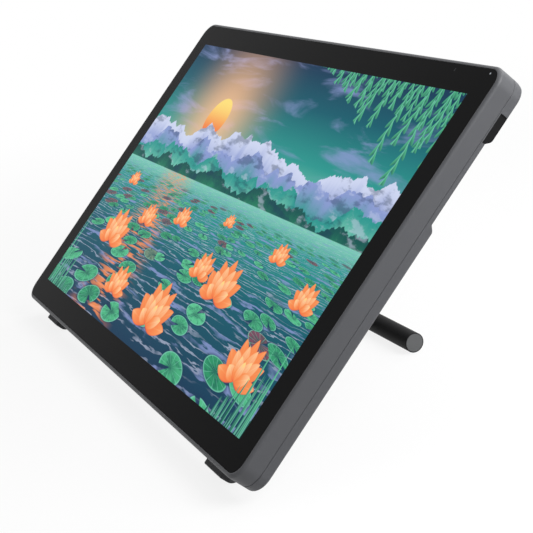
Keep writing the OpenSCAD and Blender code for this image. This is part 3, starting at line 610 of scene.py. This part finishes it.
def screenFinish(name, node):
    # etched glass with black print round the lit picture, or the panel behind it
    material, paint = newFinish(name)
    place = paint.headPlaceOf()
    x, y, z = paint.parts(place)
    picture = pondPicture(paint, x / screen["height"], y / screen["height"])
    insideX = paint.fade(abs(x), screen["width"] / 2, screen["width"] / 2 - screen["edge"])
    insideY = paint.fade(abs(y), screen["height"] / 2, screen["height"] / 2 - screen["edge"])
    high = headSpan(node)[1]
    front = paint.fade(z, *[high.z - deep for deep in glass["frontFrom"]])
    glow = paint.mix(insideX * insideY * front, screen["unlit"], picture)
    if node == "cover_glass":
        pipeLow, pipeHigh = headSpan("status_light_pipe")
        away = paint.distance(x - (pipeLow.x + pipeHigh.x) / 2, y - (pipeLow.y + pipeHigh.y) / 2)
        lit = paint.fade(away, lamp["radius"], lamp["radius"] * lamp["core"])
        glow = paint.mix(lit * front, glow, lamp["color"])
        keySpan = headSpan("power_button") + headSpan("brightness_up_button")
        markX = abs(x - sum(corner.x for corner in keySpan) / len(keySpan))
        markY = abs(y - (high.y - keyMark["fromTop"]))
        marked = (markX < keyMark["half"][0]) * (markY < keyMark["half"][1])
        ink = paint.mix(marked * front, glass["print"], keyMark["color"])
    else:
        ink = paint.mix(insideX, glass["panelEdge"], glass["panel"])
    etch = paint.noise(place, glass["etchScale"])
    haze = paint.noise(place, glass["hazeScale"], detail=3.0)
    paint.surface({
        "Base Color": ink,
        "Roughness": glass["rough"] + (etch - 0.5) * glass["etchRough"] + (haze - 0.5) * glass["hazeRough"],
        "Specular IOR Level": glass["gloss"],
        "Emission Color": glow,
        "Emission Strength": 1.0,
        "Normal": paint.bump(etch, glass["etchDepth"], glass["etchGrain"]),
    })
    return material


finishes["cover_glass"] = screenFinish("etchedGlass", "cover_glass")
finishes["lcd_cell"] = screenFinish("panelFace", "lcd_panel")
print("picture:", sum(len(layer.nodes) for layer in pondLayers), "nodes in", len(pondLayers), "layers")


# Pieces that stand for a solid of the frame, with its edges broken as moulded and machined edges are
softening = {"rows": 3, "merge": 0.002 * mm, "flat": math.radians(0.5), "sharp": math.radians(32),
             "weight": 100}


def linked(name, mesh):
    piece = bpy.data.objects.new(name, mesh)
    bpy.context.scene.collection.objects.link(piece)
    return piece


def settle(piece):
    # turns what the modifiers make into a plain mesh
    graph = bpy.context.evaluated_depsgraph_get()
    mesh = bpy.data.meshes.new_from_object(piece.evaluated_get(graph))
    piece.modifiers.clear()
    piece.data = mesh
    return piece


def merged(mesh):
    work = bmesh.new()
    work.from_mesh(mesh)
    bmesh.ops.remove_doubles(work, verts=work.verts, dist=softening["merge"])
    return work


def coat(mesh, slotName):
    mesh.materials.clear()
    mesh.materials.append(finishes[slotName])


def dress(piece, node, body):
    coat(piece.data, slotOf[node])
    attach(piece, body)
    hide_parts(node)


def bodyOf(node):
    return next(body for body, members in record["behaviour"]["bodies"].items() if node in members)


def soften(node, name, edge):
    mesh = nodes[node].data.copy()
    work = merged(mesh)
    bmesh.ops.dissolve_limit(work, angle_limit=softening["flat"], verts=work.verts, edges=work.edges)
    work.to_mesh(mesh)
    work.free()
    piece = linked(name, mesh)
    bevel = piece.modifiers.new("edge", "BEVEL")
    bevel.width = edge
    bevel.segments = softening["rows"]
    bevel.limit_method = "ANGLE"
    bevel.angle_limit = softening["sharp"]
    bevel.use_clamp_overlap = False
    bevel.loop_slide = False
    bevel.miter_outer = "MITER_ARC"
    mesh.shade_smooth()
    weigh = piece.modifiers.new("normals", "WEIGHTED_NORMAL")
    weigh.weight = softening["weight"]
    weigh.keep_sharp = True
    dress(settle(piece), node, bodyOf(node))


# name of the piece and width of its broken edges in millimetres
edges = {
    "front_frame": ("frontFrame", 0.25), "cover_glass": ("coverGlass", 0.25),
    "back_cover": ("backCover", 0.3), "rubber_feet": ("rubberFeet", 1.0),
    "upper_pads": ("upperPads", 0.5), "stand_plate": ("standPlate", 0.5),
    "stand_leg": ("standLeg", 1.2), "release_lever": ("releaseLever", 0.7),
    "clutch_housing": ("clutchHousing", 1.0), "rod_sleeves": ("rodSleeves", 0.4),
    "rod_caps": ("rodCaps", 0.3), "hinge_nut": ("hingeNut", 0.4),
    "hinge_washers": ("hingeWashers", 0.2), "hinge_shaft": ("hingeShaft", 0.4),
    "power_button": ("powerButton", 0.3), "brightness_up_button": ("brightnessUpButton", 0.3),
    "brightness_down_button": ("brightnessDownButton", 0.3), "mount_inserts": ("mountInserts", 0.15),
    "usb_ports": ("usbPorts", 0.08), "video_port": ("videoPort", 0.08), "power_jack": ("powerJack", 0.15),
}
for node, (name, edge) in edges.items():
    soften(node, name, edge * mm)
print("edges broken on", len(edges), "pieces")


# Repeated details, set out on points by one node group
def copyGroup():
    inputs = {"Points": "NodeSocketGeometry", "Pattern": "NodeSocketObject", "Turn": "NodeSocketVector",
              "Spin": "NodeSocketFloat", "Seed": "NodeSocketInt", "Finish": "NodeSocketMaterial"}
    tree, paint = newTree("copiesOnPoints", "GeometryNodeTree", inputs, {"Copies": "NodeSocketGeometry"})
    points = paint.node("NodeGroupInput")
    pattern = paint.node("GeometryNodeObjectInfo", {}, {"Object": points.other("Pattern")}, "Geometry")
    base = paint.node("FunctionNodeEulerToRotation", {}, {"Euler": points.other("Turn")})
    sockets = {"Min_001": 0.0, "Max_001": points.other("Spin"), "Seed": points.other("Seed")}
    angle = paint.node("FunctionNodeRandomValue", {"data_type": "FLOAT"}, sockets, "Value_001")
    spin = paint.node("FunctionNodeAxisAngleToRotation", {}, {"Axis": (0, 0, 1), "Angle": angle})
    sockets = {"Rotation": base, "Rotate By": spin}
    turned = paint.node("FunctionNodeRotateRotation", {"rotation_space": "LOCAL"}, sockets)
    sockets = {"Points": points, "Instance": pattern, "Rotation": turned}
    copied = paint.node("GeometryNodeInstanceOnPoints", {}, sockets)
    real = paint.node("GeometryNodeRealizeInstances", {}, {"Geometry": copied})
    sockets = {"Geometry": real, "Material": points.other("Finish")}
    paint.node("NodeGroupOutput", {}, {"Copies": paint.node("GeometryNodeSetMaterial", {}, sockets)})
    return tree


copyTree = copyGroup()


def copies(name, pattern, places, turn, slotName, spin=0.0, seed=7):
    mesh = bpy.data.meshes.new(name)
    mesh.from_pydata(places, [], [])
    piece = linked(name, mesh)
    modifier = piece.modifiers.new("copies", "NODES")
    modifier.node_group = copyTree
    values = {"Pattern": pattern, "Turn": turn, "Spin": spin, "Seed": seed, "Finish": finishes[slotName]}
    for item in copyTree.interface.items_tree:
        if item.in_out == "INPUT" and item.name in values:
            modifier[item.identifier] = values[item.name]
    settle(piece)
    bpy.data.objects.remove(pattern)
    return piece


def asDetail(piece, slotName, body):
    coat(piece.data, slotName)
    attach(piece, body)


def islands(node):
    # the box of each separate solid of a node, along the head's axes
    work = merged(nodes[node].data)
    left, found = set(work.verts), []
    while left:
        front, group = [left.pop()], []
        while front:
            vertex = front.pop()
            group.append(toHead @ vertex.co)
            beside = {e.other_vert(vertex) for e in vertex.link_edges} & left
            left -= beside
            front.extend(beside)
        found.append(spanOf(group))
    work.free()
    return sorted(found, key=lambda span: (round(span[0].x, 4), round(span[0].y, 4)))


def closedPiece(name, work):
    mesh = bpy.data.meshes.new(name)
    bmesh.ops.recalc_face_normals(work, faces=work.faces)
    work.to_mesh(mesh)
    work.free()
    return linked(name, mesh)


def extruded(name, outline, low, high):
    work = bmesh.new()
    face = work.faces.new([work.verts.new((x, y, low)) for x, y in outline])
    grown = bmesh.ops.extrude_face_region(work, geom=[face])
    raised = [v for v in grown["geom"] if isinstance(v, bmesh.types.BMVert)]
    bmesh.ops.translate(work, verts=raised, vec=(0, 0, high - low))
    return closedPiece(name, work)


def turnedSolid(name, profile, steps=40):
    # profile of (radius, height) from the axis at the bottom to the axis at the top
    work = bmesh.new()
    line = [work.verts.new((radius, 0, height)) for radius, height in profile]
    rim = [work.edges.new(pair) for pair in zip(line, line[1:])]
    bmesh.ops.spin(work, geom=line + rim, cent=(0, 0, 0), axis=(0, 0, 1), angle=2 * math.pi, steps=steps)
    bmesh.ops.remove_doubles(work, verts=work.verts, dist=softening["merge"])
    return closedPiece(name, work)


def cutBy(piece, tool, sharp=math.radians(30)):
    cut = piece.modifiers.new("recess", "BOOLEAN")
    cut.operation = "DIFFERENCE"
    cut.solver = "EXACT"
    cut.object = tool
    settle(piece)
    bpy.data.objects.remove(tool)
    piece.data.shade_smooth()
    piece.data.set_sharp_from_angle(angle=sharp)
    return piece


def barOutline(halfX, lowY, highY):
    return [(-halfX, lowY), (halfX, lowY), (halfX, highY), (-halfX, highY)]


def ringOutline(count, radius):
    angles = [2 * math.pi * i / count for i in range(count)]
    return [(radius * math.cos(a), radius * math.sin(a)) for a in angles]


def crossOutline(arm, half):
    corner = [(arm, -half), (arm, half), (half, half)]
    points = []
    for quarter in range(4):
        c, s = round(math.cos(quarter * math.pi / 2)), round(math.sin(quarter * math.pi / 2))
        points += [(c * x - s * y, s * x + c * y) for x, y in corner]
    return points


def evenly(count, pitch):
    return [(i - (count - 1) / 2) * pitch for i in range(count)]


# shares of the stem's radius at the point, and of the head's radius and height from its rim to its top
screwForm = {"point": 0.7, "crown": [(1.0, 1.0), (1.0, 0.35), (0.93, 0.12), (0.8, 0.0)], "seed": 11}


def screwPattern(name, look, spans):
    # head up along z, its top at 0
    low, high = spans[0]
    radius, length = (high.x - low.x) / 2, high.z - low.z
    head, stem = look["head"], look["stem"]
    shank = [(0, -length), (stem * screwForm["point"], -length), (stem, -length + stem), (stem, -head)]
    crown = [(radius * out, -head * down) for out, down in screwForm["crown"]]
    pattern = turnedSolid(name, [*shank, *crown, (0, 0)])
    return cutBy(pattern, extruded(name + "Tool", look["recess"], -look["deep"], head))


rearTurn = (tilt + math.pi, 0, 0)
screwLooks = {
    "cover_screws": {"name": "coverScrews", "head": 1.6 * mm, "stem": 1.2 * mm, "deep": 1.0 * mm,
                     "recess": crossOutline(1.3 * mm, 0.32 * mm)},
    "stand_screws": {"name": "standScrews", "head": 2.4 * mm, "stem": 1.9 * mm, "deep": 1.3 * mm,
                     "recess": ringOutline(6, 1.45 * mm)},
}
for node, look in screwLooks.items():
    spans = islands(node)
    heads = [headPlace @ Vector(((a.x + b.x) / 2, (a.y + b.y) / 2, a.z)) for a, b in spans]
    pattern = screwPattern(look["name"] + "Pattern", look, spans)
    screws = copies(look["name"], pattern, heads, rearTurn, slotOf[node], 2 * math.pi, screwForm["seed"])
    dress(screws, node, bodyOf(node))


def makeContacts():
    # plated contacts on the tongues of the data and video sockets
    look = {"usb_ports": {"tall": 3.3 * mm, "tongue": 0.7 * mm, "count": 5, "pitch": 1.2 * mm},
            "video_port": {"tall": 4.3 * mm, "tongue": 1.0 * mm, "count": 10, "pitch": 1.0 * mm}}
    strip = {"wide": 0.45 * mm, "long": 3.4 * mm, "thick": 0.06 * mm, "inset": 1.3 * mm,
             "slot": "insert_brass"}
    places = []
    for node, row in look.items():
        for low, high in islands(node):
            middle, depth = (low.x + high.x) / 2, low.z + row["tall"] / 2 - row["tongue"] / 2
            for shift in evenly(row["count"], row["pitch"]):
                places.append(headPlace @ Vector((middle + shift, low.y + strip["inset"], depth)))
    outline = barOutline(strip["wide"] / 2, 0, strip["long"])
    pattern = extruded("contactPattern", outline, -strip["thick"], strip["thick"])
    asDetail(copies("socketContacts", pattern, places, (tilt, 0, 0), strip["slot"]), strip["slot"], "head")


def makeLeverRibs():
    # grip ribs across the thumb end of the release lever
    look = {"count": 5, "pitch": 2.1 * mm, "long": 8.0 * mm, "wide": 0.8 * mm, "high": 0.35 * mm,
            "endWithin": 8.0 * mm, "gripTo": 7.5 * mm, "mostLean": 0.1, "sameFace": 0.999}
    lever = nodes["release_lever"].data
    across = Vector((1, 0, 0))
    rearward = headTurn.to_3x3() @ Vector((0, 0, -1))
    edgeX = min(v.co.x for v in lever.vertices)
    farthest = edgeX + look["endWithin"]
    ends = [p for p in lever.polygons if p.center.x < farthest and abs(p.normal.x) < look["mostLean"]]
    grip = max(ends, key=lambda p: (round(p.normal.dot(rearward), 3), p.area))
    faces = [p for p in ends if p.normal.dot(grip.normal) > look["sameFace"]]
    points = [lever.vertices[i].co for p in faces for i in p.vertices]
    along = grip.normal.cross(across).normalized()
    low, high = min(p.dot(along) for p in points), max(p.dot(along) for p in points)
    middleX = (min(p.x for p in points) + edgeX + look["gripTo"]) / 2
    base = Vector((middleX, 0, 0)) + along * (low + high) / 2 + grip.normal * grip.center.dot(grip.normal)
    places = [base + along * shift for shift in evenly(look["count"], look["pitch"])]
    outline = barOutline(look["long"] / 2, -look["wide"] / 2, look["wide"] / 2)
    pattern = extruded("ribPattern", outline, -look["high"], look["high"])
    turn = Matrix((across, grip.normal.cross(across), grip.normal)).transposed().to_euler()
    slotName = slotOf["release_lever"]
    asDetail(copies("leverRibs", pattern, places, tuple(turn), slotName), slotName, bodyOf("release_lever"))


def makeKeyMarks():
    # a raised ring on the power key, a raised cross and a raised bar on the brightness keys
    look = {"long": 2.0 * mm, "wide": 0.45 * mm, "high": 0.12 * mm, "ring": 0.9 * mm, "sides": 28,
            "through": 1.0 * mm, "slot": "cap_grey"}
    half, thin = look["long"] / 2, look["wide"] / 2
    marks = {"power_button": ringOutline(look["sides"], look["ring"]),
             "brightness_up_button": crossOutline(half, thin),
             "brightness_down_button": barOutline(half, -thin, thin)}
    for node, outline in marks.items():
        low, high = headSpan(node)
        name = edges[node][0] + "Mark"
        pattern = extruded(name + "Pattern", outline, -look["high"], look["high"])
        if node == "power_button":
            bore = ringOutline(look["sides"], look["ring"] - look["wide"])
            cutBy(pattern, extruded(name + "Tool", bore, -look["through"], look["through"]))
        place = headPlace @ Vector(((low.x + high.x) / 2, high.y, (low.z + high.z) / 2))
        mark = copies(name, pattern, [place], (tilt - math.pi / 2, 0, 0), look["slot"])
        asDetail(mark, look["slot"], bodyOf(node))


def makeRecessShadeWall():
    # wall that ends the port recess at the right side, its lower rear corner sloped and rounded; its dark
    # colour is painted shade, standing for the shaded inside of the recess
    look = {"thick": 2.5 * mm, "inset": 1.0 * mm, "sunk": 0.4 * mm, "round": 4.0 * mm, "roundSteps": 6,
            "slope": 45, "edge": 0.25 * mm, "edgeRows": 2, "slot": "connector_black"}
    cover = nodes["back_cover"].data
    corners = [toHead @ v.co for v in cover.vertices]
    shape = BVHTree.FromPolygons(corners, [p.vertices for p in cover.polygons])
    coverLow, coverHigh = headSpan("back_cover")
    recess = next(o for o in record["physics"]["openings"] if o["name"] == "port_recess_mid")
    inside = toHead @ (sum((Vector(c) for c in recess["box_m"]), Vector()) / 2)
    right = coverHigh.x - look["inset"]
    inside.x = right - look["thick"]

    def wall(y, z, along):
        return shape.ray_cast(Vector((inside.x, y, z)), Vector(along))[0]

    top = wall(inside.y, inside.z, (0, 1, 0)).y
    floor = wall(inside.y, inside.z, (0, 0, 1)).z
    low = wall(inside.y, floor - look["sunk"], (0, -1, 0)).y
    channel = wall(low - look["round"], coverLow.z - mm, (0, 0, 1)).z
    rear = coverLow.z + look["sunk"]
    bend = low + channel - rear + look["round"] * math.tan(math.radians(look["slope"]) / 2)
    steps = [i / look["roundSteps"] for i in range(look["roundSteps"] + 1)]
    arc = [math.radians(-90 - look["slope"] * step) for step in steps]
    curve = [(bend + look["round"] * math.cos(a), rear + look["round"] * (1 + math.sin(a))) for a in arc]
    outline = [(top, floor), (top, rear), *curve, (low, channel), (low, floor)]
    piece = extruded("recessEnd", outline, inside.x, right)
    outlineToHead = Matrix(((0, 0, 1, 0), (1, 0, 0, 0), (0, 1, 0, 0), (0, 0, 0, 1)))  # drawn in y and z
    piece.data.transform(headPlace @ outlineToHead)
    bevel = piece.modifiers.new("edge", "BEVEL")
    bevel.width = look["edge"]
    bevel.segments = look["edgeRows"]
    # the near-black connector finish paints the recess's shade onto this wall
    asDetail(settle(piece), look["slot"], "head")


makeContacts()
makeLeverRibs()
makeKeyMarks()
makeRecessShadeWall()
print("details: screws, contacts, ribs, key marks and recess end")

replaced = {**edges, **screwLooks}
for node, solid in nodes.items():
    if node not in replaced:
        coat(solid.data, slotOf[node])


# Floor, light and camera
studio = {
    "floorSize": 16.0, "floorDrop": 0.2 * mm, "floorTone": (0.86, 0.86, 0.86, 1.0), "floorGlow": 0.85,
    "fadeFrom": (0.35, 1.3), "white": (1, 1, 1, 1), "worldStrength": 0.26,
    "softboxes": [
        {"name": "overhead", "at": (-0.3, 0.3, 1.9), "size": 1.8, "power": 10},
        {"name": "rightSide", "at": (0.85, 0.5, 0.72), "size": 0.8, "power": 15},
        {"name": "behind", "at": (-0.5, 1.8, 1.3), "size": 1.4, "power": 14},
    ],
    "aim": (0.0, 0.0, 0.12),
}
photo = {"at": (1.0339, -0.3683, 0.4019), "toward": (-0.89480, 0.33989, -0.28949), "roll": -9.624,
         "lens": 95.622, "sensor": 36.0}


def seenDirectly(paint):
    # 1 where the eye, a reflection or a view through glass looks at the background itself
    camera = paint.node("ShaderNodeLightPath", {}, {}, "Is Camera Ray")
    return (camera + camera.other("Is Glossy Ray") + camera.other("Is Transmission Ray")).atMost(1.0)


def lookAlong(direction):
    return Vector(direction).to_track_quat("-Z", "Y")


def makeFloor():
    mesh = bpy.data.meshes.new("floor")
    half = studio["floorSize"] / 2
    corners = [(x, y, -studio["floorDrop"]) for x, y in barOutline(half, -half, half)]
    mesh.from_pydata(corners, [], [(0, 1, 2, 3)])
    floor = linked("floor", mesh)
    material, paint = newFinish("paleFloor")
    matt = paint.node("ShaderNodeBsdfDiffuse", {}, {"Color": studio["floorTone"]})
    glow = paint.node("ShaderNodeEmission", {}, {"Color": studio["white"], "Strength": 1.0})
    x, y = paint.parts(paint.objectPlace())[:2]
    far = paint.fade(paint.distance(x, y), *studio["fadeFrom"])
    shown = seenDirectly(paint) * (far * (1 - studio["floorGlow"]) + studio["floorGlow"])
    both = paint.node("ShaderNodeMixShader", {}, {0: shown, 1: matt, 2: glow})
    paint.node("ShaderNodeOutputMaterial", {}, {"Surface": both})
    mesh.materials.append(material)


def makeLight():
    world = bpy.data.worlds.new("studio")
    bpy.context.scene.world = world
    world.use_nodes = True
    paint = Paint(world.node_tree)
    seen = seenDirectly(paint)
    strength = seen + (1 - seen) * studio["worldStrength"]
    sky = paint.node("ShaderNodeBackground", {}, {"Color": studio["white"], "Strength": strength})
    paint.node("ShaderNodeOutputWorld", {}, {"Surface": sky})
    for box in studio["softboxes"]:
        light = bpy.data.lights.new(box["name"], "AREA")
        light.shape = "DISK"
        light.size = box["size"]
        light.energy = box["power"]
        softbox = linked(box["name"], light)
        softbox.location = box["at"]
        softbox.visible_camera = False
        softbox.rotation_euler = lookAlong(Vector(studio["aim"]) - Vector(box["at"])).to_euler()


def makeCamera():
    lens = bpy.data.cameras.new("photoView")
    lens.lens = photo["lens"]
    lens.sensor_width = photo["sensor"]
    camera = linked("photoView", lens)
    facing = lookAlong(photo["toward"]).to_matrix().to_4x4()
    turned = facing @ Matrix.Rotation(math.radians(photo["roll"]), 4, "Z")
    camera.matrix_world = Matrix.Translation(photo["at"]) @ turned
    bpy.context.scene.camera = camera


makeFloor()
makeLight()
makeCamera()
bpy.context.scene.view_settings.view_transform = "Standard"
print("stage: floor,", len(studio["softboxes"]), "softboxes, camera")
